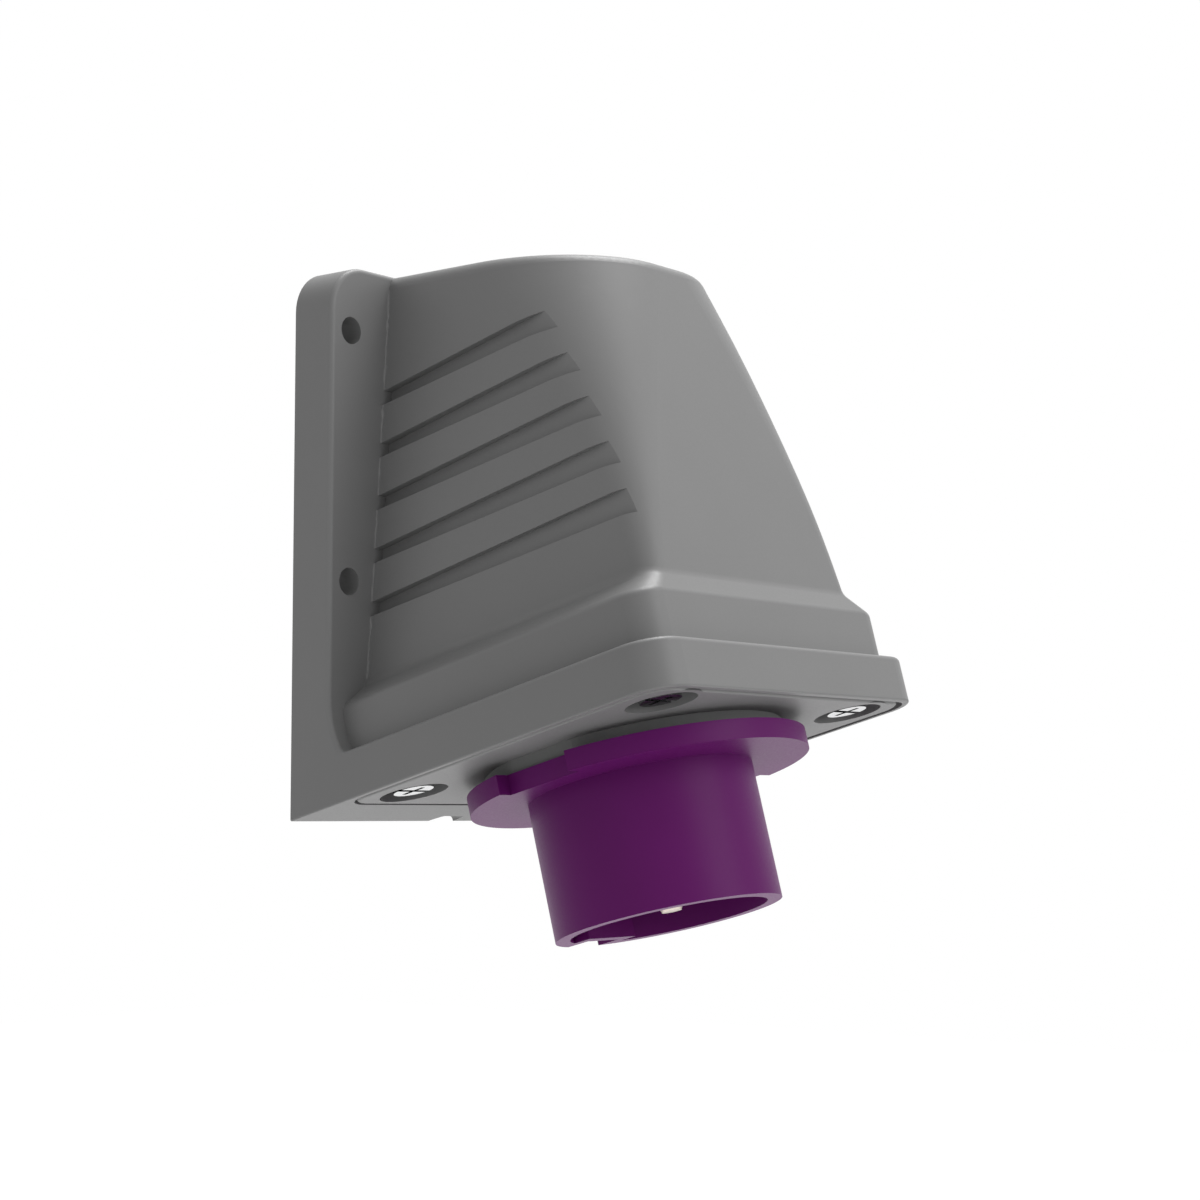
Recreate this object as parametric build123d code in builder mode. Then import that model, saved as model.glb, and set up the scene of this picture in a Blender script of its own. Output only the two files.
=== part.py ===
import os
from math import cos, radians, sin

from build123d import *

# Wall-mounted angled inlet: a grey moulded housing with a sloping underside that
# is closed by an inset panel, and a violet shrouded three-pin inlet set square
# to that slope. The origin is the centre of the four fixing holes on the wall
# plane: +X right for someone facing the wall, +Y into the wall, +Z up.

# Housing outline
width = 88.0
plate_height = 110.0
plate_depth = 10.0
plate_corner_radius = 9.0
flange_corner_radius = 8.0
wall = 3.0
back_wall = 3.0

# Fixing holes in the plate
fix_height = 72.0
fix_pitch_x = 77.0
fix_pitch_z = 50.0
fix_hole = 5.5
fix_boss = 10.6

# Sloping underside
tilt = 14.8
floor_length = 94.2
flange_depth = 9.4
floor_rim = 1.4

# Hood: the skirt band above the flange, then the tapering upper body
skirt_side_inset = 4.0
skirt_front_inset = 2.8
skirt_radius = 6.0
skirt_level = 19.1
shoulder_level = 23.4
shoulder_drop = 2.0
hood_side_step = 6.6
hood_front_step = 1.8
hood_radius = 4.0
hood_top_level = 108.0
hood_top_inset = 6.3
hood_top_setback = 5.0
hood_top_radius = 33.4
hood_side_curve = 0.9
hood_front_curve = 1.7
hood_corner_curve = 1.45
hood_section_count = 7
top_edge_radius = 3.0
ridge_radius = 1.6
shoulder_radius = 3.0
bead_radius = 1.2
rim_radius = 1.0
foot_radius = 0.4
gusset_reach = 3.4
gusset_height = 10.5
gusset_turn_radius = 1.5

# Slanted grooves in each side of the hood
groove_count = 5
groove_pitch = 10.35
groove_first_level = 38.0
groove_height = 2.8
groove_end_height = 5.6
groove_depth = 2.4
groove_end_depth = 1.0
groove_backing = 2.2

# Inset bottom panel
axis_setback = 41.5
panel_gap = 1.0
panel_rear_gap = 0.2
panel_thickness = 3.2
panel_edge_radius = 0.9
panel_screw_reach = 31.1
well_diameter = 13.6
well_depth = 3.6
well_wall = 1.2
well_floor = 2.4
gasket_thickness = 1.4
gasket_width = 3.6
gasket_inset = 0.5
gasket_land = 0.4

# Panel screws and their brass inserts
screw_diameter = 4.0
screw_length = 13.0
screw_head = 8.6
screw_head_height = 2.4
washer_thickness = 0.8
washer_diameter = 10.0
screw_clearance = 0.4
drive_slot = 1.1
drive_depth = 1.3
insert_diameter = 6.0
insert_length = 8.0
boss_diameter = 12.6
boss_level = 17.5

# Violet inlet insert
shroud_diameter = 45.0
shroud_wall = 2.9
shroud_length = 33.8
collar_diameter = 68.0
collar_thickness = 3.9
collar_standoff = 2.6
collar_notch_depth = 4.4
collar_notch_height = 17.0
key_width = 9.6
key_depth = 5.6
key_wall = 2.6
neck_diameter = 52.0
neck_top = 17.0
neck_wall = 3.0
contact_floor_level = 5.0
contact_floor_thickness = 3.0

# Contact pins, on a circle about the inlet axis
pin_count = 3
pin_diameter = 5.0
pin_circle_radius = 8.8
pin_setback = 2.7
pin_tip_chamfer = 0.5
pin_tip_length = 1.0
pin_shank_diameter = 5.8
pin_shank_rise = 0.5
pin_collar_diameter = 9.0
pin_collar_height = 2.0
terminal_diameter = 7.6
terminal_length = 13.0
wire_bore = 3.6
wire_bore_depth = 9.0
terminal_screw_drop = 4.5
terminal_screw_diameter = 3.0
terminal_screw_head = 5.0
terminal_screw_head_height = 1.8
terminal_screw_rise = 0.6
fit_gap = 0.15
thread_gap = 0.1

# Seals, clamp ring and cable entry
seal_outer_diameter = 60.0
seal_notch_depth = 1.0
nut_diameter = 60.0
nut_height = 6.0
nut_grips = 12
nut_grip_radius = 1.6
carrier_diameter = 44.0
carrier_height = 12.0
carrier_screw_pitch = 30.0
carrier_screw_diameter = 3.0
carrier_screw_head = 5.6
carrier_screw_head_height = 2.2
carrier_screw_length = 10.6
carrier_bore_depth = 2.8
carrier_screw_sink = 4.0
entry_diameter = 22.0
entry_height = 12.0
entry_pad_diameter = 32.0
entry_pad_height = 2.0
grommet_flange_diameter = 27.0
grommet_flange_thickness = 1.5
grommet_lip_diameter = 25.0
grommet_bore = 16.0
grommet_membrane = 1.0
grommet_recess = 0.2
grommet_ring_radii = (3.0, 5.0)
grommet_ring_depth = 0.4
knockout_groove = 0.8
knockout_diameter = 20.4
knockout_y = -30.0
drain_notch_width = 7.6
drain_notch_height = 1.0
pry_slot_width = 12.0
pry_slot_depth = 1.6
core_depth = 7.0
core_foot_z = -52.0
mouth_ledge = 5.0

# Planes and shared positions
top = plate_height - fix_height
skirt_half_width = width / 2 - skirt_side_inset
skirt_reach = floor_length - skirt_front_inset
hood_half_width = skirt_half_width - hood_side_step
hood_reach = skirt_reach - hood_front_step
core_inner = hood_half_width + bead_radius
axis_reach = floor_length - axis_setback
slope = Plane(
    origin=(0, 0, -fix_height),
    x_dir=(1, 0, 0),
    z_dir=(0, sin(radians(tilt)), cos(radians(tilt))),
)
inlet = Plane(
    origin=slope.from_local_coords((0, -axis_reach, 0)),
    x_dir=slope.x_dir,
    z_dir=slope.z_dir,
)
rear = 12.0
panel_pocket_length = 2 * (axis_setback - floor_rim)
panel_pocket_width = width - 2 * floor_rim
mouth_rear = axis_reach - panel_pocket_length / 2 + mouth_ledge
seat_level = panel_thickness + gasket_thickness
cup_level = well_depth + well_floor
cup_radius = well_diameter / 2 + well_wall
cup_pocket_radius = cup_radius + panel_gap / 2
gasket_loop_radius = cup_pocket_radius + gasket_width
pin_angles = [-90 + 360 / pin_count * i for i in range(pin_count)]
pin_names = ["contact_pin_front", "contact_pin_right", "contact_pin_left"]
pin_tip_level = -(shroud_length - pin_setback)
shroud_inner_radius = shroud_diameter / 2 - shroud_wall
sin_t = sin(radians(tilt))
cos_t = cos(radians(tilt))
groove_levels = [groove_first_level + groove_pitch * i for i in range(groove_count)]
core_height = top - wall - core_foot_z
core_middle_z = core_foot_z + core_height / 2
pocket_radius = flange_corner_radius - floor_rim
panel_width = panel_pocket_width - 2 * panel_gap
panel_screw_pitch = 2 * panel_screw_reach
panel_length = panel_pocket_length - panel_gap - panel_rear_gap
panel_middle = (panel_gap - panel_rear_gap) / 2
panel_radius = pocket_radius - panel_gap
slope_axis = Axis(slope.origin, slope.z_dir)
screw_places = GridLocations(panel_screw_pitch, panel_screw_pitch, 2, 2)
carrier_screw_places = GridLocations(carrier_screw_pitch, 1, 2, 1)
pin_places = PolarLocations(pin_circle_radius, pin_count, start_angle=pin_angles[0])


def hood_level(share):
    """Level, half width, reach and corner radius at a share of the upper hood's height."""
    half_width = hood_half_width - hood_top_inset * share**hood_side_curve
    radius = hood_radius + (hood_top_radius - hood_radius) * share**hood_corner_curve
    return (
        shoulder_level + (hood_top_level - shoulder_level) * share,
        half_width,
        hood_reach - hood_top_setback * share**hood_front_curve,
        min(radius, half_width - 1),
    )


skirt_levels = [
    (0, skirt_half_width, skirt_reach, skirt_radius),
    (skirt_level, skirt_half_width, skirt_reach, skirt_radius),
]
hood_levels = [hood_level(i / (hood_section_count - 1)) for i in range(hood_section_count)]


def hood_outline(level, half_width, reach, radius):
    """Plan of the hood at one level, running on behind the wall plane."""
    with BuildSketch(slope.offset(level)) as outline:
        with Locations((0, (rear - reach) / 2)):
            Rectangle(2 * half_width, reach + rear)
        fillet(outline.vertices().group_by(Axis.Y)[0], radius)
    return outline.sketch


def level_edges(shape, level):
    """Edges that run round the hood at one level, clear of the wall plane."""
    return shape.edges().filter_by(
        lambda edge: abs(slope.to_local_coords(edge.center()).Z - level) < 0.01 and edge.center().Y < -1
    )


def front_rim(shape):
    """Edges round the front of plate and flange, where it turns into the sides."""
    crossing = shape.edges().filter_by(Axis.Y, reverse=True).filter_by(slope_axis, reverse=True)
    ahead = crossing.filter_by(lambda edge: edge.center().Y < -1)
    above = ahead.filter_by(lambda edge: slope.to_local_coords(edge.center()).Z > 0.01)
    across = above.filter_by(Axis.X)
    return [edge for edge in above if edge not in across] + [
        across.sort_by(Axis.Z)[-1],
        across.sort_by(Axis.Y)[0],
    ]


def inner_level(side_wall, level, half_width, reach, radius):
    """The same level of the hood, one wall further in."""
    return (level - shoulder_drop, half_width - side_wall, reach - wall, max(radius - side_wall, 1.0))


def side_half_width(level):
    """Half width of the upper hood's side at a level."""
    return hood_level((level - shoulder_level) / (hood_top_level - shoulder_level))[1]


def height_on_slope(y, level):
    """Z of the point at a given Y on the plane that lies a level above the slope."""
    return (level - y * sin_t) / cos_t - fix_height


def side_point(reach, level):
    """Y and Z of the point at a distance along the slope and a level above it."""
    point = slope.from_local_coords((0, -reach, level))
    return (point.Y, point.Z)


def save(part, name):
    """Label one finished piece and write its STEP file."""
    part.label = name
    export_step(part, f"parts/{name}.step")


os.makedirs("parts", exist_ok=True)

# Outer form of the hood, cut by the wall plane and the flat top
with BuildPart() as hood:
    loft([hood_outline(*section) for section in [*skirt_levels, hood_levels[0]]], ruled=True)
    loft([hood_outline(*section) for section in hood_levels])
    split(bisect_by=Plane.XZ, keep=Keep.TOP)
    split(bisect_by=Plane.XY.offset(top), keep=Keep.BOTTOM)
    top_face = hood.faces().filter_by(Axis.Z).sort_by(Axis.Z)[-1]
    fillet(top_face.edges().filter_by(lambda edge: edge.center().Y < -1), top_edge_radius)
    fillet(level_edges(hood.part, shoulder_level), shoulder_radius)
    fillet(level_edges(hood.part, skirt_level), ridge_radius)

# Space inside the hood, one wall in from its outside
with BuildPart() as cavity:
    skirt_inside = [inner_level(wall, *section) for section in skirt_levels]
    hood_inside = [inner_level(groove_depth + groove_backing, *section) for section in hood_levels[::3]]
    loft([hood_outline(*section) for section in [*skirt_inside, *hood_inside]], ruled=True)
    split(bisect_by=Plane.XZ.offset(back_wall), keep=Keep.TOP)
    split(bisect_by=Plane.XY.offset(top - wall), keep=Keep.BOTTOM)
    split(bisect_by=slope.offset(flange_depth), keep=Keep.TOP)


def bead_section(height):
    """Plan at one height of the bead between hood and plate, run a little into both."""
    side_x = side_half_width((height + fix_height) * cos_t - plate_depth * sin_t)
    with BuildSketch(Plane.XY.offset(height)) as section:
        with BuildLine():
            RadiusArc(
                (side_x, -plate_depth - bead_radius),
                (side_x + bead_radius, -plate_depth),
                -bead_radius,
            )
            Polyline(
                (side_x + bead_radius, -plate_depth),
                (side_x + bead_radius, -plate_depth + 1),
                (side_x - 1, -plate_depth + 1),
                (side_x - 1, -plate_depth - bead_radius),
                (side_x, -plate_depth - bead_radius),
            )
        make_face()
    return section.sketch


# Round beads in the corners between the sides of the hood and the plate
bead_foot = height_on_slope(-plate_depth, shoulder_level + 1)
bead_head = top - top_edge_radius
with BuildPart() as bead:
    loft([bead_section(bead_foot + (bead_head - bead_foot) * i / 4) for i in range(5)], ruled=True)
    mirror(about=Plane.YZ)


def groove_section(y, depth, height, level):
    """Cross-section of a side groove at one distance from the wall."""
    middle_z = height_on_slope(y, level)
    floor_x = side_half_width(level) - depth
    with BuildSketch(Plane.XZ.offset(-y)) as section:
        with Locations((floor_x + groove_depth, middle_z)):
            Rectangle(2 * groove_depth, height / cos_t)
    return section.sketch


# Slanted grooves: channels that widen and get shallower from the plate to the
# front, where they run out as the front corner curves away
with BuildPart() as grooves:
    for i in range(groove_count):
        level = groove_first_level + groove_pitch * i
        loft(
            [
                groove_section(-plate_depth, groove_depth, groove_height, level),
                groove_section(-hood_reach, groove_end_depth, groove_end_height, level),
            ],
            ruled=True,
        )
    mirror(about=Plane.YZ)

with BuildPart() as housing_shell:
    # Wall plate, curved gusset and sloping flange: one side profile, drawn out
    # to the full width, with rounded corners and one rounded rim all round
    gusset_y = -plate_depth - gusset_reach
    gusset_z = height_on_slope(gusset_y, flange_depth)
    with BuildSketch(Plane.YZ) as side_profile:
        with BuildLine():
            TangentArc(
                (-plate_depth, gusset_z + gusset_height),
                (gusset_y, gusset_z),
                tangent=(0, -1),
            )
            Polyline(
                (gusset_y, gusset_z),
                side_point(floor_length, flange_depth),
                side_point(floor_length, 0),
                (0, -fix_height),
                (0, top),
                (-plate_depth, top),
                (-plate_depth, gusset_z + gusset_height),
            )
        make_face()
        fillet(side_profile.vertices().sort_by_distance((gusset_y, gusset_z))[0], gusset_turn_radius)
    extrude(amount=width / 2, both=True)
    fillet(housing_shell.edges().filter_by(Axis.Y).group_by(Axis.Z)[-1], plate_corner_radius)
    fillet(housing_shell.edges().filter_by(slope_axis).group_by(Axis.Y)[0], flange_corner_radius)
    fillet(front_rim(housing_shell.part), rim_radius)
    fillet(level_edges(housing_shell.part, 0), foot_radius)
    add(hood.part)
    add(bead.part)
    split(bisect_by=slope, keep=Keep.TOP)
    add(grooves.part, mode=Mode.SUBTRACT)
    # Space for the wiring, the mouth over the panel and the panel's recess
    add(cavity.part, mode=Mode.SUBTRACT)
    with BuildSketch(inlet) as mouth_outline:
        with Locations((0, axis_reach - (skirt_reach - wall + mouth_rear) / 2)):
            Rectangle(2 * (skirt_half_width - wall), skirt_reach - wall - mouth_rear)
        fillet(mouth_outline.vertices(), skirt_radius - wall)
        with screw_places:
            Circle(gasket_loop_radius + gasket_land, mode=Mode.SUBTRACT)
    extrude(amount=flange_depth + 1, mode=Mode.SUBTRACT)
    with BuildSketch(inlet):
        RectangleRounded(panel_pocket_width, panel_pocket_length, pocket_radius)
    extrude(amount=seat_level, mode=Mode.SUBTRACT)
    with BuildSketch(inlet):
        with screw_places:
            Circle(cup_pocket_radius)
    extrude(amount=cup_level, mode=Mode.SUBTRACT)
    # Screw bosses in the corners of the mouth, each with a blind bore
    with BuildSketch(inlet.offset(cup_level)):
        with screw_places:
            Circle(boss_diameter / 2)
    extrude(amount=boss_level - cup_level)
    with BuildSketch(inlet.offset(cup_level)):
        with screw_places:
            Circle(insert_diameter / 2)
    extrude(amount=insert_length, mode=Mode.SUBTRACT)
    with BuildSketch(inlet.offset(cup_level)):
        with screw_places:
            Circle(screw_diameter / 2 + fit_gap)
    extrude(amount=boss_level - cup_level - 1, mode=Mode.SUBTRACT)
    # Cored back of the plate beside the hood, with a boss round each fixing hole
    with BuildSketch(Plane.XZ):
        with Locations((0, core_middle_z)):
            Rectangle(width - 2 * wall, core_height)
            Rectangle(2 * core_inner, core_height, mode=Mode.SUBTRACT)
        with GridLocations(fix_pitch_x, fix_pitch_z, 2, 2):
            Circle(fix_boss / 2, mode=Mode.SUBTRACT)
    extrude(amount=core_depth, mode=Mode.SUBTRACT)
    with BuildSketch(Plane.XZ):
        with GridLocations(fix_pitch_x, fix_pitch_z, 2, 2):
            Circle(fix_hole / 2)
    extrude(amount=plate_depth, mode=Mode.SUBTRACT)
    # Cable entry through the back wall, with a recess for the grommet's flange
    with BuildSketch(Plane.XZ.offset(back_wall)):
        with Locations((0, entry_height)):
            Circle(entry_pad_diameter / 2)
    extrude(amount=entry_pad_height)
    with BuildSketch(Plane.XZ):
        with Locations((0, entry_height)):
            Circle(entry_diameter / 2)
    extrude(amount=back_wall + entry_pad_height, mode=Mode.SUBTRACT)
    with BuildSketch(Plane.XZ):
        with Locations((0, entry_height)):
            Circle(grommet_flange_diameter / 2)
    extrude(amount=grommet_flange_thickness, mode=Mode.SUBTRACT)
    # Thin ring in the top that marks a knockout for a gland
    with BuildSketch(Plane.XY.offset(top)):
        with Locations((0, knockout_y)):
            Circle(knockout_diameter / 2 + knockout_groove)
            Circle(knockout_diameter / 2, mode=Mode.SUBTRACT)
    extrude(amount=-knockout_groove, mode=Mode.SUBTRACT)
    # Drain notch at the foot of the wall face
    with BuildSketch(Plane.XZ):
        with Locations((0, -fix_height)):
            SlotCenterToCenter(drain_notch_width - 2 * drain_notch_height, 2 * drain_notch_height)
    extrude(amount=plate_depth / 2, mode=Mode.SUBTRACT)
save(housing_shell.part, "housing_shell")

# Bottom panel: a flat plate with four sunk screw wells and the inlet's hole
with BuildPart() as base_panel:
    with BuildSketch(inlet):
        with Locations((0, panel_middle)):
            RectangleRounded(panel_width, panel_length, panel_radius)
    extrude(amount=panel_thickness)
    fillet(base_panel.faces().sort_by(slope_axis)[0].edges(), panel_edge_radius)
    with BuildSketch(inlet):
        with screw_places:
            Circle(cup_radius)
    extrude(amount=cup_level)
    with BuildSketch(inlet):
        with screw_places:
            Circle(well_diameter / 2)
    extrude(amount=well_depth, mode=Mode.SUBTRACT)
    with BuildSketch(inlet):
        with screw_places:
            Circle(screw_diameter / 2 + screw_clearance)
        Circle(neck_diameter / 2 + screw_clearance)
    extrude(amount=cup_level, mode=Mode.SUBTRACT)
    # Slot at the wall edge of the panel for prising it out
    with BuildSketch(inlet):
        with Locations((0, panel_middle + panel_length / 2)):
            Rectangle(pry_slot_width, 2 * pry_slot_depth)
    extrude(amount=panel_thickness, mode=Mode.SUBTRACT)
save(base_panel.part, "base_panel")

# Flat rubber gasket between the panel and its seat, looped inside the screws
gasket_outer_width = panel_width - 2 * gasket_inset
gasket_outer_length = panel_length - 2 * gasket_inset
with BuildSketch() as gasket_opening:
    with Locations((0, panel_middle)):
        RectangleRounded(
            gasket_outer_width - 2 * gasket_width,
            gasket_outer_length - 2 * gasket_width,
            panel_radius - gasket_inset,
        )
    with screw_places:
        Circle(gasket_loop_radius, mode=Mode.SUBTRACT)
with BuildPart() as panel_gasket:
    with BuildSketch(inlet.offset(panel_thickness)):
        with Locations((0, panel_middle)):
            RectangleRounded(gasket_outer_width, gasket_outer_length, panel_radius - gasket_inset)
        add(gasket_opening.sketch_local, mode=Mode.SUBTRACT)
        with screw_places:
            Circle(cup_pocket_radius, mode=Mode.SUBTRACT)
    extrude(amount=gasket_thickness)
save(panel_gasket.part, "panel_gasket")

# Pan-head panel screws with a combined cross and slot drive
head_level = well_depth - washer_thickness
with BuildPart() as panel_screws:
    with BuildSketch(inlet.offset(head_level)):
        with screw_places:
            Circle(screw_diameter / 2)
    extrude(amount=screw_length)
    with BuildSketch(inlet.offset(head_level)):
        with screw_places:
            Circle(screw_head / 2)
    extrude(amount=-screw_head_height, taper=8)
    with BuildSketch(inlet.offset(head_level - screw_head_height)):
        with screw_places:
            Rectangle(screw_head * 0.62, drive_slot)
            Rectangle(drive_slot, screw_head * 0.62)
    extrude(amount=drive_depth, mode=Mode.SUBTRACT)
    with BuildSketch(inlet.offset(head_level - screw_head_height)):
        with screw_places:
            Rectangle(screw_head + 1, drive_slot)
    extrude(amount=drive_depth * 0.6, mode=Mode.SUBTRACT)
save(panel_screws.part, "panel_screws")

# Sealing washers under the heads
with BuildPart() as screw_washers:
    with BuildSketch(inlet.offset(head_level)):
        with screw_places:
            Circle(washer_diameter / 2)
            Circle(screw_diameter / 2 + thread_gap, mode=Mode.SUBTRACT)
    extrude(amount=washer_thickness)
save(screw_washers.part, "screw_washers")

# Knurled brass inserts moulded into the bosses
with BuildPart() as threaded_inserts:
    with BuildSketch(inlet.offset(cup_level)):
        with screw_places:
            Circle(insert_diameter / 2)
            Circle(screw_diameter / 2 + thread_gap, mode=Mode.SUBTRACT)
    extrude(amount=insert_length)
save(threaded_inserts.part, "threaded_inserts")

# Violet insert: shroud tube, notched collar, neck through the panel and the
# floor that carries the contacts
collar_face = -collar_standoff
rim_level = -shroud_length
floor_top = contact_floor_level + contact_floor_thickness
with BuildPart() as inlet_shroud:
    with BuildSketch(inlet.offset(rim_level)):
        Circle(shroud_diameter / 2)
    extrude(amount=shroud_length + collar_face)
    with BuildSketch(inlet.offset(collar_face)):
        Circle(collar_diameter / 2)
        with Locations((-collar_diameter / 2, 0), (collar_diameter / 2, 0)):
            Rectangle(2 * collar_notch_depth, collar_notch_height, mode=Mode.SUBTRACT)
    extrude(amount=-collar_thickness)
    with BuildSketch(inlet.offset(collar_face)):
        Circle(neck_diameter / 2)
    extrude(amount=neck_top - collar_face)
    with BuildSketch(inlet.offset(rim_level)):
        Circle(shroud_inner_radius)
    extrude(amount=contact_floor_level - rim_level, mode=Mode.SUBTRACT)
    with BuildSketch(inlet.offset(floor_top)):
        Circle(neck_diameter / 2 - neck_wall)
    extrude(amount=neck_top - floor_top, mode=Mode.SUBTRACT)
    # Key: an outward-open channel that faces the wall, with its wall bent inwards
    key_floor = shroud_diameter / 2 - key_depth
    with BuildSketch(inlet.offset(rim_level)):
        Circle(shroud_inner_radius + 0.5)
        with Locations((0, key_floor - key_wall + shroud_diameter / 4)):
            Rectangle(key_width + 2 * key_wall, shroud_diameter / 2, mode=Mode.INTERSECT)
    extrude(amount=contact_floor_level - rim_level)
    with BuildSketch(inlet.offset(rim_level)):
        with Locations((0, key_floor + shroud_diameter / 4)):
            Rectangle(key_width, shroud_diameter / 2)
    extrude(amount=collar_face - collar_thickness - rim_level, mode=Mode.SUBTRACT)
    # Holes for the pins and blind bores for the two carrier screws
    with BuildSketch(inlet.offset(contact_floor_level)):
        with pin_places:
            Circle(pin_shank_diameter / 2 + fit_gap)
    extrude(amount=contact_floor_thickness, mode=Mode.SUBTRACT)
    with BuildSketch(inlet.offset(floor_top)):
        with carrier_screw_places:
            Circle(carrier_screw_diameter / 2 + thread_gap)
    extrude(amount=-carrier_bore_depth, mode=Mode.SUBTRACT)
save(inlet_shroud.part, "inlet_shroud")

# Rubber ring between collar and panel
with BuildPart() as shroud_seal:
    with BuildSketch(inlet.offset(collar_face)):
        Circle(seal_outer_diameter / 2)
        Circle(neck_diameter / 2, mode=Mode.SUBTRACT)
        with Locations((-seal_outer_diameter / 2, 0), (seal_outer_diameter / 2, 0)):
            Rectangle(2 * seal_notch_depth, collar_notch_height, mode=Mode.SUBTRACT)
    extrude(amount=collar_standoff)
save(shroud_seal.part, "shroud_seal")

# Ring nut that draws the collar against the panel from inside
with BuildPart() as shroud_ring_nut:
    with BuildSketch(inlet.offset(panel_thickness)):
        Circle(nut_diameter / 2)
        with PolarLocations(nut_diameter / 2, nut_grips):
            Circle(nut_grip_radius, mode=Mode.SUBTRACT)
        Circle(neck_diameter / 2, mode=Mode.SUBTRACT)
    extrude(amount=nut_height)
save(shroud_ring_nut.part, "shroud_ring_nut")

# Insulating carrier that holds the pins' collars down on the shroud's floor
carrier_top = floor_top + carrier_height
with BuildPart() as contact_carrier:
    with BuildSketch(inlet.offset(floor_top)):
        Circle(carrier_diameter / 2)
    extrude(amount=carrier_height)
    with BuildSketch(inlet.offset(floor_top)):
        with pin_places:
            Circle(pin_collar_diameter / 2 + fit_gap)
    extrude(amount=pin_collar_height, mode=Mode.SUBTRACT)
    with BuildSketch(inlet.offset(floor_top)):
        with pin_places:
            Circle(terminal_diameter / 2 + fit_gap)
        with carrier_screw_places:
            Circle(carrier_screw_diameter / 2 + fit_gap)
    extrude(amount=carrier_height, mode=Mode.SUBTRACT)
    with BuildSketch(inlet.offset(carrier_top)):
        with carrier_screw_places:
            Circle(carrier_screw_head / 2 + screw_clearance)
    extrude(amount=-carrier_screw_sink, mode=Mode.SUBTRACT)
    # Open-sided slots that lead to the terminal screws
    with BuildSketch(inlet.offset(floor_top + pin_collar_height + 1)):
        with PolarLocations((carrier_diameter / 2 + pin_circle_radius) / 2, pin_count, pin_angles[0]):
            Rectangle(carrier_diameter / 2 - pin_circle_radius, terminal_screw_head + 1)
    extrude(amount=carrier_height, mode=Mode.SUBTRACT)
save(contact_carrier.part, "contact_carrier")

# Contact pins: each is one turned part with a stepped shank, a collar and its wire terminal
terminal_foot = floor_top + pin_collar_height
terminal_top = terminal_foot + terminal_length
screw_level = terminal_top - terminal_screw_drop
for name, angle in zip(pin_names, pin_angles):
    outward = slope.x_dir.rotate(Axis((0, 0, 0), slope.z_dir), angle)
    pin_plane = Plane(inlet.origin + outward * pin_circle_radius, outward, inlet.z_dir)
    with BuildPart() as contact_pin:
        with BuildSketch(pin_plane.offset(pin_tip_level)):
            Circle(pin_diameter / 2)
        extrude(amount=floor_top - pin_tip_level)
        tip_edge = contact_pin.faces().sort_by(slope_axis)[0].edges()
        chamfer(tip_edge, pin_tip_length, pin_tip_chamfer)
        with BuildSketch(pin_plane.offset(contact_floor_level - pin_shank_rise)):
            Circle(pin_shank_diameter / 2)
        extrude(amount=contact_floor_thickness + pin_shank_rise)
        with BuildSketch(pin_plane.offset(floor_top)):
            Circle(pin_collar_diameter / 2)
        extrude(amount=pin_collar_height)
        with BuildSketch(pin_plane.offset(terminal_foot)):
            Circle(terminal_diameter / 2)
        extrude(amount=terminal_length)
        with BuildSketch(pin_plane.offset(terminal_top)):
            Circle(wire_bore / 2)
        extrude(amount=-wire_bore_depth, mode=Mode.SUBTRACT)
        with BuildSketch(Plane(pin_plane.offset(screw_level).origin, pin_plane.y_dir, outward)):
            Circle(terminal_screw_diameter / 2 + thread_gap)
        extrude(amount=terminal_diameter, mode=Mode.SUBTRACT)
    save(contact_pin.part, name)

# Cheese-head terminal screws, one in the side of each terminal
screw_seat = terminal_diameter / 2 + terminal_screw_rise
with BuildPart() as terminal_screws:
    for angle in pin_angles:
        outward = slope.x_dir.rotate(Axis((0, 0, 0), slope.z_dir), angle)
        seat = Plane(
            inlet.offset(screw_level).origin + outward * (pin_circle_radius + screw_seat),
            inlet.z_dir,
            outward,
        )
        with BuildSketch(seat):
            Circle(terminal_screw_head / 2)
        extrude(amount=terminal_screw_head_height)
        with BuildSketch(seat):
            Circle(terminal_screw_diameter / 2)
        extrude(amount=-(screw_seat - wire_bore / 2))
        with BuildSketch(seat.offset(terminal_screw_head_height)):
            Rectangle(terminal_screw_head + 1, 0.8)
        extrude(amount=-0.9, mode=Mode.SUBTRACT)
save(terminal_screws.part, "terminal_screws")

# Screws that hold the carrier to the shroud's floor
carrier_seat = carrier_top - carrier_screw_sink
with BuildPart() as carrier_screws:
    with BuildSketch(inlet.offset(carrier_seat)):
        with carrier_screw_places:
            Circle(carrier_screw_diameter / 2)
    extrude(amount=-carrier_screw_length)
    with BuildSketch(inlet.offset(carrier_seat)):
        with carrier_screw_places:
            Circle(carrier_screw_head / 2)
    extrude(amount=carrier_screw_head_height, taper=6)
    with BuildSketch(inlet.offset(carrier_seat + carrier_screw_head_height)):
        with carrier_screw_places:
            Rectangle(carrier_screw_head * 0.6, 0.9)
            Rectangle(0.9, carrier_screw_head * 0.6)
    extrude(amount=-1.0, mode=Mode.SUBTRACT)
save(carrier_screws.part, "carrier_screws")

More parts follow.
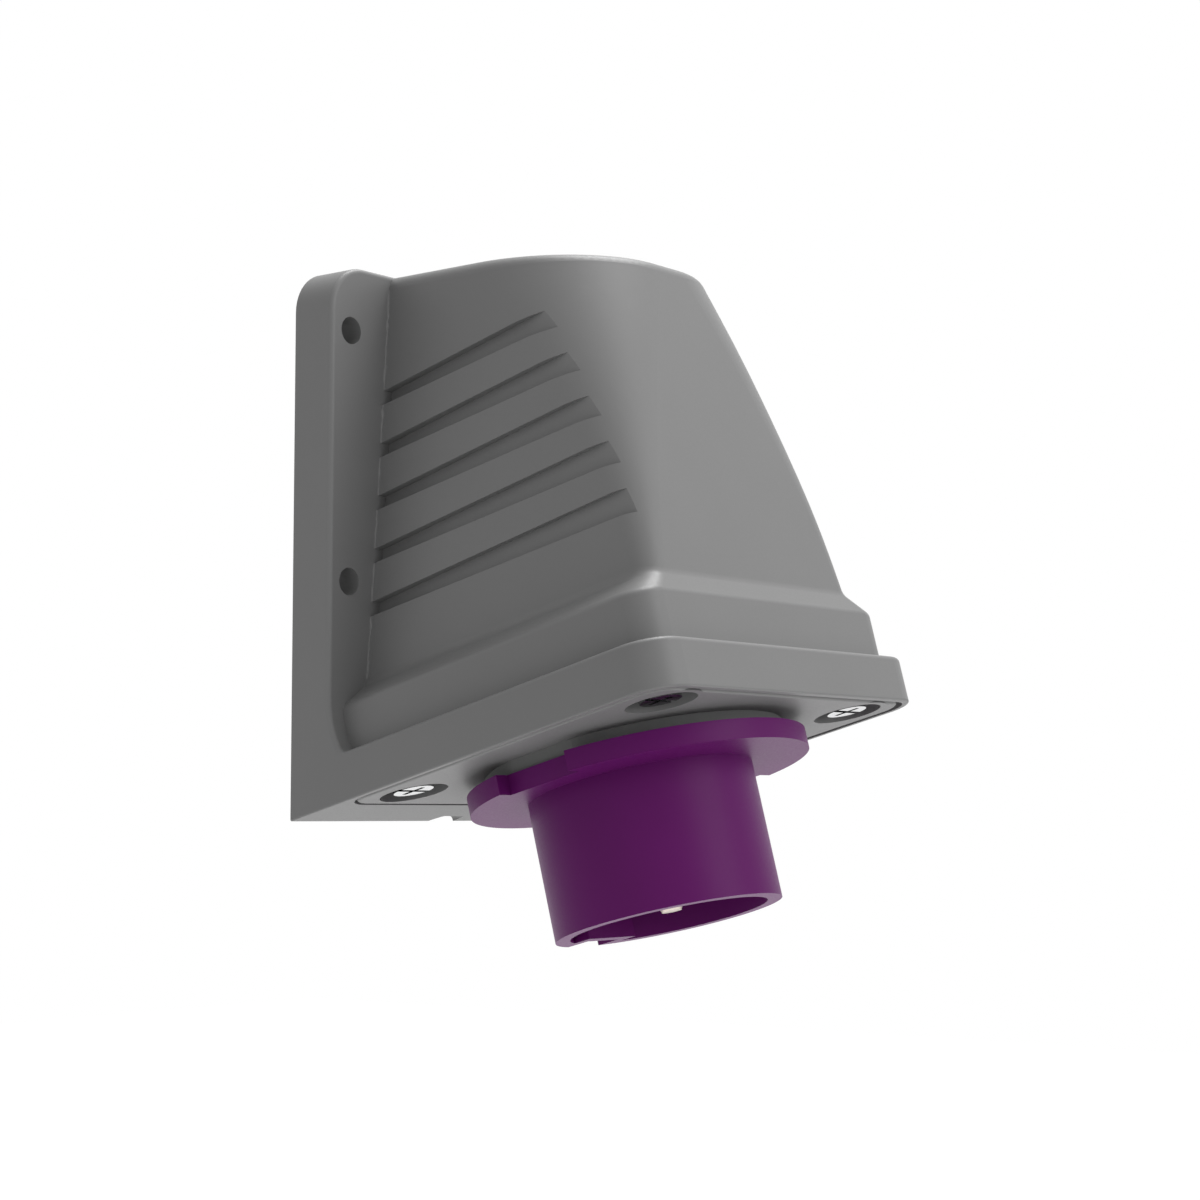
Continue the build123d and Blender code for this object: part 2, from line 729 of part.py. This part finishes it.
# Rubber membrane grommet in the cable entry of the back wall
entry_wall = back_wall + entry_pad_height
with BuildPart() as cable_grommet:
    with BuildSketch(Plane.XZ.offset(grommet_recess)):
        with Locations((0, entry_height)):
            Circle(grommet_flange_diameter / 2 - grommet_recess)
    extrude(amount=grommet_flange_thickness - grommet_recess)
    with BuildSketch(Plane.XZ.offset(grommet_flange_thickness)):
        with Locations((0, entry_height)):
            Circle(entry_diameter / 2 - thread_gap)
    extrude(amount=entry_wall - grommet_flange_thickness)
    with BuildSketch(Plane.XZ.offset(entry_wall)):
        with Locations((0, entry_height)):
            Circle(grommet_lip_diameter / 2)
    extrude(amount=grommet_flange_thickness, taper=15)
    with BuildSketch(Plane.XZ.offset(grommet_recess + grommet_membrane)):
        with Locations((0, entry_height)):
            Circle(grommet_bore / 2)
    extrude(amount=entry_wall, mode=Mode.SUBTRACT)
    # Rings pressed into the membrane, to be cut open for the cable
    with BuildSketch(Plane.XZ.offset(grommet_recess)):
        with Locations((0, entry_height)):
            for radius in grommet_ring_radii:
                Circle(radius + grommet_ring_depth)
                Circle(radius, mode=Mode.SUBTRACT)
    extrude(amount=grommet_ring_depth, mode=Mode.SUBTRACT)
save(cable_grommet.part, "cable_grommet")
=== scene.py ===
import math

import bmesh
import bpy
import numpy as np
from mathutils import Matrix, Vector


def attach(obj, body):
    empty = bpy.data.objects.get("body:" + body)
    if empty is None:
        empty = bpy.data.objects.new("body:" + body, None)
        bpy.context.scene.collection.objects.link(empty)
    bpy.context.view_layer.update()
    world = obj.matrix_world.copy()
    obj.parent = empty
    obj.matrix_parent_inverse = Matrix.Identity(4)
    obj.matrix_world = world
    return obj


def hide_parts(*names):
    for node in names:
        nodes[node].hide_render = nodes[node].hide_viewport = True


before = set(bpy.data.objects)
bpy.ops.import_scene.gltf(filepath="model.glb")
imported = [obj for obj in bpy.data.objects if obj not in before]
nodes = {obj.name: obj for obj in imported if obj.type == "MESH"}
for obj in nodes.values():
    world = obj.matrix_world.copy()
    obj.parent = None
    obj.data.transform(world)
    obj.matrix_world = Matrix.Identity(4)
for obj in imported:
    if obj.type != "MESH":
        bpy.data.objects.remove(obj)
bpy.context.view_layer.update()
print("frame loaded:", len(nodes), "nodes")


# sRGB hex to linear RGBA: c / 12.92 below 0.04045, else ((c + 0.055) / 1.055) ^ 2.4
def linear(hexColour):
    parts = [int(hexColour[i:i + 2], 16) / 255 for i in (1, 3, 5)]
    return [c / 12.92 if c <= 0.04045 else ((c + 0.055) / 1.055) ** 2.4 for c in parts] + [1.0]


# Adds one node: options are its attributes, inputs are values, links are sockets that feed it
def addNode(tree, kind, options=None, inputs=None, links=None):
    node = tree.nodes.new(kind)
    for name, value in (options or {}).items():
        setattr(node, name, value)
    for name, value in (inputs or {}).items():
        node.inputs[name].default_value = value
    for name, socket in (links or {}).items():
        tree.links.new(socket, node.inputs[name])
    return node


# Empties the node tree of a new material or world
def emptyTree(owner):
    owner.use_nodes = True
    owner.node_tree.nodes.clear()
    return owner.node_tree


def newMaterial(name):
    material = bpy.data.materials.new(name)
    tree = emptyTree(material)
    shader = addNode(tree, "ShaderNodeBsdfPrincipled")
    addNode(tree, "ShaderNodeOutputMaterial", links={"Surface": shader.outputs["BSDF"]})
    return material, tree, shader


def dress(material, *nodeNames):
    for name in nodeNames:
        mesh = nodes[name].data
        mesh.materials.clear()
        mesh.materials.append(material)


# What the fine patterns of all finishes share
pattern = {
    "grainDetail": 3.0,          # octaves of noise in a plastic's grain
    "markDetail": 2.0,           # and in a flow mottle or a metal's marks
    "noiseRange": (0.3, 0.7),    # range of the noise that is spread over the roughness
    "plasticLift": 0.5,          # strength of the bump
    "metalLift": 0.4,
}


# Fine pattern of a finish: a noise of a real size that varies the gloss and lifts the skin a little
def addSkin(tree, shader, place, size, depth, roughness, detail, lift):
    grain = addNode(tree, "ShaderNodeTexNoise", inputs={"Scale": 1 / size, "Detail": detail},
                    links={"Vector": place})
    low, high = pattern["noiseRange"]
    gloss = addNode(tree, "ShaderNodeMapRange", links={"Value": grain.outputs["Fac"]},
                    inputs={"From Min": low, "From Max": high, "To Min": roughness[0], "To Max": roughness[1]})
    bump = addNode(tree, "ShaderNodeBump", inputs={"Strength": lift, "Distance": depth},
                   links={"Height": grain.outputs["Fac"]})
    tree.links.new(gloss.outputs["Result"], shader.inputs["Roughness"])
    tree.links.new(bump.outputs["Normal"], shader.inputs["Normal"])


# Moulded plastic or rubber: an even colour with a faint flow mottle under a fine grain from the mould.
# Sizes are in metres; every grain is drawn coarser than the real 0.1 mm one, so that it shows
def moulded(name, look):
    material, tree, shader = newMaterial(name)
    place = addNode(tree, "ShaderNodeTexCoord").outputs["Object"]
    mottle = addNode(tree, "ShaderNodeTexNoise", links={"Vector": place},
                     inputs={"Scale": 1 / look["mottleSize"], "Detail": pattern["markDetail"]})
    tint = addNode(tree, "ShaderNodeMix", {"data_type": "RGBA"}, links={0: mottle.outputs["Fac"]})
    tint.inputs["A"].default_value = linear(look["colour"])
    tint.inputs["B"].default_value = linear(look["mottleColour"])
    tree.links.new(tint.outputs["Result"], shader.inputs["Base Color"])
    shader.inputs["Specular IOR Level"].default_value = look["specular"]
    addSkin(tree, shader, place, look["grainSize"], look["grainDepth"], look["roughness"],
            pattern["grainDetail"], pattern["plasticLift"])
    return material


# Moulded grey polyamide: a satin skin with the fine spark-eroded grain of the mould, so highlights are
# broad and soft
greyPolyamide = {
    "colour": "#7f7f7f",
    "mottleColour": "#7b7b7b",
    "mottleSize": 0.018,
    "grainSize": 0.00045,
    "grainDepth": 0.00001,
    "roughness": (0.44, 0.52),
    "specular": 0.4,
}
dress(moulded("mouldedGreyPolyamide", greyPolyamide), "housing_shell", "base_panel")

# Violet polyamide of the inlet insert: dyed through, from a smoother mould, with weak reflections that
# leave its colour deep
violetPolyamide = {
    "colour": "#671868",
    "mottleColour": "#621662",
    "mottleSize": 0.012,
    "grainSize": 0.0004,
    "grainDepth": 0.000006,
    "roughness": (0.38, 0.46),
    "specular": 0.12,
}
dress(moulded("mouldedVioletPolyamide", violetPolyamide), "inlet_shroud")

# Black glass-filled polyamide inside: nearly black, and duller where glass fibres reach its skin
blackPolyamide = {
    "colour": "#2a2b2d",
    "mottleColour": "#262729",
    "mottleSize": 0.01,
    "grainSize": 0.0003,
    "grainDepth": 0.000015,
    "roughness": (0.5, 0.6),
    "specular": 0.3,
}
dress(moulded("glassFilledBlackPolyamide", blackPolyamide), "shroud_ring_nut", "contact_carrier")

# EPDM rubber: matt, faintly dusty black; the collar's seal is a paler grade of it
blackRubber = {
    "colour": "#1f2021",
    "mottleColour": "#2a2b2c",
    "mottleSize": 0.004,
    "grainSize": 0.0003,
    "grainDepth": 0.00002,
    "roughness": (0.62, 0.75),
    "specular": 0.2,
}
greyRubber = {**blackRubber, "colour": "#7c7d7c", "mottleColour": "#767776"}
dress(moulded("mouldedEpdmRubber", blackRubber), "panel_gasket", "cable_grommet", "screw_washers")
dress(moulded("mouldedGreyRubber", greyRubber), "shroud_seal")


# Metal with fine turning or pressing marks, which vary its gloss and break its reflections a little. Sizes
# are in metres; the marks are drawn coarser than the real ones of about 0.1 mm, so that they show
def markedMetal(name, look):
    material, tree, shader = newMaterial(name)
    place = addNode(tree, "ShaderNodeTexCoord").outputs["Object"]
    shader.inputs["Metallic"].default_value = 1.0
    shader.inputs["Base Color"].default_value = linear(look["colour"])
    addSkin(tree, shader, place, look["markSize"], look["markDepth"], look["roughness"],
            pattern["markDetail"], pattern["metalLift"])
    return material


# Zinc-plated steel screws: pressed smooth, so the heads mirror white or dark surroundings
zincSteel = {"colour": "#b9babb", "markSize": 0.0006, "markDepth": 0.000002, "roughness": (0.1, 0.18)}
dress(markedMetal("zincPlatedSteel", zincSteel), "panel_screws", "terminal_screws", "carrier_screws")

# Nickel-plated brass pins: turned, then plated to a warm satin
nickelBrass = {"colour": "#d3c8bd", "markSize": 0.0008, "markDepth": 0.000001, "roughness": (0.34, 0.44)}
dress(markedMetal("nickelPlatedBrass", nickelBrass),
      "contact_pin_front", "contact_pin_right", "contact_pin_left")

# Plain brass inserts: turned, yellow, with visible tool marks
plainBrass = {"colour": "#c8a457", "markSize": 0.0007, "markDepth": 0.000008, "roughness": (0.24, 0.36)}
dress(markedMetal("turnedBrass", plainBrass), "threaded_inserts")
print("materials set")

# Housing with a tight crease between hood and plate, in place of the round bead there: lengths in metres
housingCrease = {
    "beadRadius": (0.00115, 0.0013),    # where the bead's skin lies, measured from the corner
    "slack": (-0.00002, -0.00001),      # how far the skin may reach into the hood and the plate
    "alignment": 0.9,                   # least cosine for a face to count as skin, or as an end
    "creaseRadius": 0.00015,
    "span": (-0.0442, 0.0352),          # heights between which the bead lies
    "flatEnds": (-0.04411, 0.03499),    # heights of its level faces at foot and head
    "plateFace": -0.010,
    "slope": 14.8,                      # of the grooves and the underside, in degrees
    "wallFoot": -0.072,
    "hoodFoot": (0.0234, 0.0334),       # level above the slope and half width there
    "hoodHead": (0.108, 0.0271),
    "sideCurve": 0.9,
    "mergeDistance": 0.000001,
}


# Half width of the hood at height z on the plate's face: the foot's width, less a share^curve part of the
# taper, where share is the level above the slope between foot and head
def hoodHalfWidth(z, look):
    slope = math.radians(look["slope"])
    level = (z - look["wallFoot"]) * math.cos(slope) + look["plateFace"] * math.sin(slope)
    (lowLevel, lowWidth), (highLevel, highWidth) = look["hoodFoot"], look["hoodHead"]
    share = np.clip((level - lowLevel) / (highLevel - lowLevel), 0, 1)
    return lowWidth - (lowWidth - highWidth) * share ** look["sideCurve"]


# Profile of the crease: along the plate, round a hollow quarter circle of radius r, then along the hood.
# turn 0..1 is the share of that way, reach the length of each leg. Gives the distances from the hood and
# from the plate, and the same two parts of the normal
def creaseProfile(turn, reach, r):
    quarter = math.pi / 2
    leg = reach - r
    way = turn * (2 * leg + r * quarter)
    angle = np.clip((way - leg) / r, 0, quarter)
    out = np.maximum(leg - way, 0) + r - r * np.sin(angle)
    ahead = r - r * np.cos(angle) + np.maximum(way - leg - r * quarter, 0)
    return out, ahead, np.sin(angle), np.cos(angle)


def readVectors(source, name):
    values = np.empty(len(source) * 3)
    source.foreach_get(name, values)
    return values.reshape(-1, 3)


# Sinks the bead: each point keeps its share of the turn round the corner and moves onto the crease's profile.
# Changes place and corner (the corner normals), and gives the bead's points and the triangles at its ends
def sinkBead(place, corner, vertexOf, look):
    z = place[:, 2]
    side = np.sign(place[:, 0])
    half = hoodHalfWidth(z, look)
    out = np.abs(place[:, 0]) - half
    ahead = look["plateFace"] - place[:, 1]
    reach, around = np.hypot(out, ahead), np.arctan2(ahead, out)
    near, far = look["beadRadius"]
    onBead = (reach > near) & (reach < far) & (out > look["slack"][0]) & (ahead > look["slack"][1])
    onBead &= (z > look["span"][0]) & (z < look["span"][1])
    turn = np.clip(around / (math.pi / 2), 0, 1)
    newOut, newAhead, normalOut, normalAhead = creaseProfile(turn, reach, look["creaseRadius"])

    # Triangles of the bead's skin point away from the corner; the others that touch it are its ends
    radial = np.stack([side * np.cos(around), -np.sin(around), 0 * around], 1)[vertexOf]
    aligned = ((corner * radial).sum(1) > look["alignment"]).reshape(-1, 3).all(1)
    level = (np.abs(corner[:, 2]) > look["alignment"]).reshape(-1, 3).all(1)
    touching = onBead[vertexOf].reshape(-1, 3)
    skin = touching.all(1) & aligned
    ends = touching.any(1) & ~skin & level
    skinCorner = np.repeat(skin, 3)
    corner[skinCorner] = np.stack([side * normalOut, -normalAhead, 0 * side], 1)[vertexOf][skinCorner]

    # A point on a groove's wall moves along the slope, so that the wall stays flat
    shift = ahead - newAhead
    onWall = (z > look["flatEnds"][0]) & (z < look["flatEnds"][1])
    drop = onWall * shift * math.tan(math.radians(look["slope"]))
    moved = np.stack([side * (half + newOut), place[:, 1] + shift, z - drop], 1)
    place[onBead] = moved[onBead]
    return onBead, ends


# The ends are cut to triangles afresh, because their rim is hollow now
def recutEnds(mesh, look):
    work = bmesh.new()
    work.from_mesh(mesh)
    bmesh.ops.remove_doubles(work, verts=work.verts, dist=look["mergeDistance"])
    endMark = work.faces.layers.int["beadEnd"]
    bmesh.ops.dissolve_faces(work, faces=[face for face in work.faces if face[endMark]])
    wide = [face for face in work.faces if len(face.verts) > 3]
    bmesh.ops.triangulate(work, faces=wide, ngon_method="EAR_CLIP")
    work.to_mesh(mesh)
    work.free()


def creasedHousing(look):
    mesh = nodes["housing_shell"].data.copy()
    mesh.name = "housingShell"
    place = readVectors(mesh.vertices, "co")
    corner = readVectors(mesh.corner_normals, "vector")
    vertexOf = np.empty(len(mesh.loops), int)
    mesh.loops.foreach_get("vertex_index", vertexOf)
    onBead, ends = sinkBead(place, corner, vertexOf, look)

    # Normals and end marks travel with the mesh while its triangles change
    mesh.vertices.foreach_set("co", place.ravel())
    normals = mesh.attributes.new("cornerNormal", "FLOAT_VECTOR", "CORNER")
    normals.data.foreach_set("vector", corner.ravel())
    marks = mesh.attributes.new("beadEnd", "INT", "FACE")
    marks.data.foreach_set("value", ends.astype(np.int32))
    recutEnds(mesh, look)
    mesh.normals_split_custom_set(readVectors(mesh.attributes["cornerNormal"].data, "vector").tolist())
    for name in ("cornerNormal", "beadEnd"):
        mesh.attributes.remove(mesh.attributes[name])

    piece = bpy.data.objects.new("housingShell", mesh)
    bpy.context.collection.objects.link(piece)
    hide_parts("housing_shell")
    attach(piece, "root")
    print("crease made:", int(onBead.sum()), "points moved,", int(ends.sum()), "end triangles cut afresh")


creasedHousing(housingCrease)


# Unit vector from the middle of the object towards an azimuth and elevation in degrees
def towards(look):
    a, e = math.radians(look["azimuth"]), math.radians(look["elevation"])
    return Vector((math.sin(a) * math.cos(e), -math.cos(a) * math.cos(e), math.sin(e)))


# Camera fitted to the photo: place and nearest distance in metres, angles in degrees, lens and sensor in mm
view = {
    "place": (-0.3871, -0.3467, -0.0705),
    "azimuth": -51.84,
    "elevation": -4.96,
    "lens": 73.87,
    "sensor": 36,
    "nearest": 0.01,
}


def addCamera(look):
    back = towards(look)
    right = Vector((0, 0, 1)).cross(back).normalized()
    data = bpy.data.cameras.new("photoCamera")
    data.sensor_width = look["sensor"]
    data.lens = look["lens"]
    data.clip_start = look["nearest"]
    camera = bpy.data.objects.new("photoCamera", data)
    turn = Matrix((right, back.cross(right), back)).transposed().to_4x4()
    camera.matrix_world = Matrix.Translation(look["place"]) @ turn
    bpy.context.collection.objects.link(camera)
    bpy.context.scene.camera = camera


addCamera(view)

# Soft studio light: each lamp is a disk at a distance from the middle of the object, with angles in
# degrees, lengths in metres and power in watts
lamps = {
    "topRight": {"azimuth": 90, "elevation": 72, "distance": 0.9, "size": 0.5, "power": 7.6},
    "frontSoft": {"azimuth": 10, "elevation": 16, "distance": 0.9, "size": 0.6, "power": 2.6},
}
middle = Vector((0, -0.045, -0.02))


def addLamp(name, look):
    away = towards(look)
    data = bpy.data.lights.new(name, "AREA")
    data.shape = "DISK"
    data.size = look["size"]
    data.energy = look["power"]
    lamp = bpy.data.objects.new(name, data)
    lamp.location = middle + away * look["distance"]
    lamp.rotation_euler = away.to_track_quat("Z", "Y").to_euler()
    bpy.context.collection.objects.link(lamp)


for lampName, lampLook in lamps.items():
    addLamp(lampName, lampLook)

# White surroundings: camera, glossy and transmission rays see white, the rest gets the soft level
room = {"level": 0.47, "floorHeight": -0.42, "floorSize": 6.0, "floorColour": "#e8e8e8", "floorGlow": 0.65}


# 1 for camera, glossy and transmission rays, else 0
def seenDirectly(tree):
    path = addNode(tree, "ShaderNodeLightPath")
    first = addNode(tree, "ShaderNodeMath", {"operation": "MAXIMUM"},
                    links={0: path.outputs["Is Camera Ray"], 1: path.outputs["Is Glossy Ray"]})
    second = addNode(tree, "ShaderNodeMath", {"operation": "MAXIMUM"},
                     links={0: first.outputs[0], 1: path.outputs["Is Transmission Ray"]})
    return second.outputs[0]


def addWorld(look):
    world = bpy.data.worlds.new("studio")
    tree = emptyTree(world)
    strength = addNode(tree, "ShaderNodeMapRange", inputs={"To Min": look["level"], "To Max": 1.0},
                       links={"Value": seenDirectly(tree)})
    glow = addNode(tree, "ShaderNodeBackground", inputs={"Color": (1, 1, 1, 1)},
                   links={"Strength": strength.outputs["Result"]})
    addNode(tree, "ShaderNodeOutputWorld", links={"Surface": glow.outputs["Background"]})
    bpy.context.scene.world = world


def addFloor(look):
    material = bpy.data.materials.new("paleFloor")
    tree = emptyTree(material)
    matt = addNode(tree, "ShaderNodeBsdfDiffuse", inputs={"Color": linear(look["floorColour"])})
    share = addNode(tree, "ShaderNodeMath", {"operation": "MULTIPLY"}, inputs={1: look["floorGlow"]},
                    links={0: seenDirectly(tree)})
    own = addNode(tree, "ShaderNodeEmission", links={"Strength": share.outputs[0]})
    both = addNode(tree, "ShaderNodeAddShader", links={0: matt.outputs[0], 1: own.outputs[0]})
    addNode(tree, "ShaderNodeOutputMaterial", links={"Surface": both.outputs[0]})

    half, z = look["floorSize"] / 2, look["floorHeight"]
    corners = [(-half, -half, z), (half, -half, z), (half, half, z), (-half, half, z)]
    mesh = bpy.data.meshes.new("floor")
    mesh.from_pydata(corners, [], [(0, 1, 2, 3)])
    mesh.materials.append(material)
    floor = bpy.data.objects.new("floor", mesh)
    bpy.context.collection.objects.link(floor)


addWorld(room)
addFloor(room)
bpy.context.scene.view_settings.view_transform = "Standard"
print("camera, lamps and room set")
